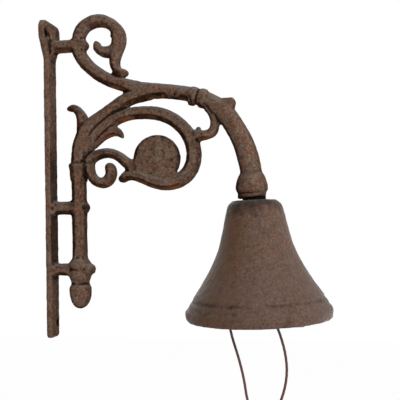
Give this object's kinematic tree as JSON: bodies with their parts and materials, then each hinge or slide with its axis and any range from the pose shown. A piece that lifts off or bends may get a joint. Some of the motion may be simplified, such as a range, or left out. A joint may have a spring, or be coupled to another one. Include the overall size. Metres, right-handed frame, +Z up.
{
  "type": "wall bell",
  "caption": "Cast iron wall bell hung under a scroll bracket with an acorn finial; the clapper inside swings when the lace is pulled.",
  "frame": {"origin": "on the wall face, midway between the two top screw holes", "axes": "X away from the wall along the arm, Y along the wall, Z up"},
  "size_m": [0.2114, 0.1042, 0.3173],
  "materials": {
    "bracket_iron": "rusty brown, sand-cast grain",
    "bell_iron": "rusty brown, sand-cast grain",
    "black_rubber": "matt",
    "zinc_steel": "dull zinc",
    "dark_steel": "dull",
    "clapper_iron": "brown, sand-cast grain",
    "brown_lace": "dark brown round lace"
  },
  "bodies": {
    "bracket": {"wall_bracket": "bracket_iron", "bell": "bell_iron", "rubber_washer": "black_rubber", "eye_bolt": "zinc_steel", "inner_washer": "zinc_steel", "bell_nut": "zinc_steel"},
    "link": {"clapper_link": "dark_steel"},
    "clapper": {"clapper": "clapper_iron", "pull_cord": "brown_lace", "cord_knot": "brown_lace"}
  },
  "joints": [
    {"name": "link_swing", "type": "hinge", "parent": "bracket", "child": "link", "pos_m": [0.15803, 0, -0.15049], "axis": [1, 0, 0], "range_deg": [-26, 26]},
    {"name": "clapper_swing", "type": "hinge", "parent": "link", "child": "clapper", "pos_m": [0.15803, 0, -0.1599], "axis": [0, 1, 0], "range_deg": [-9, 9]}
  ]
}
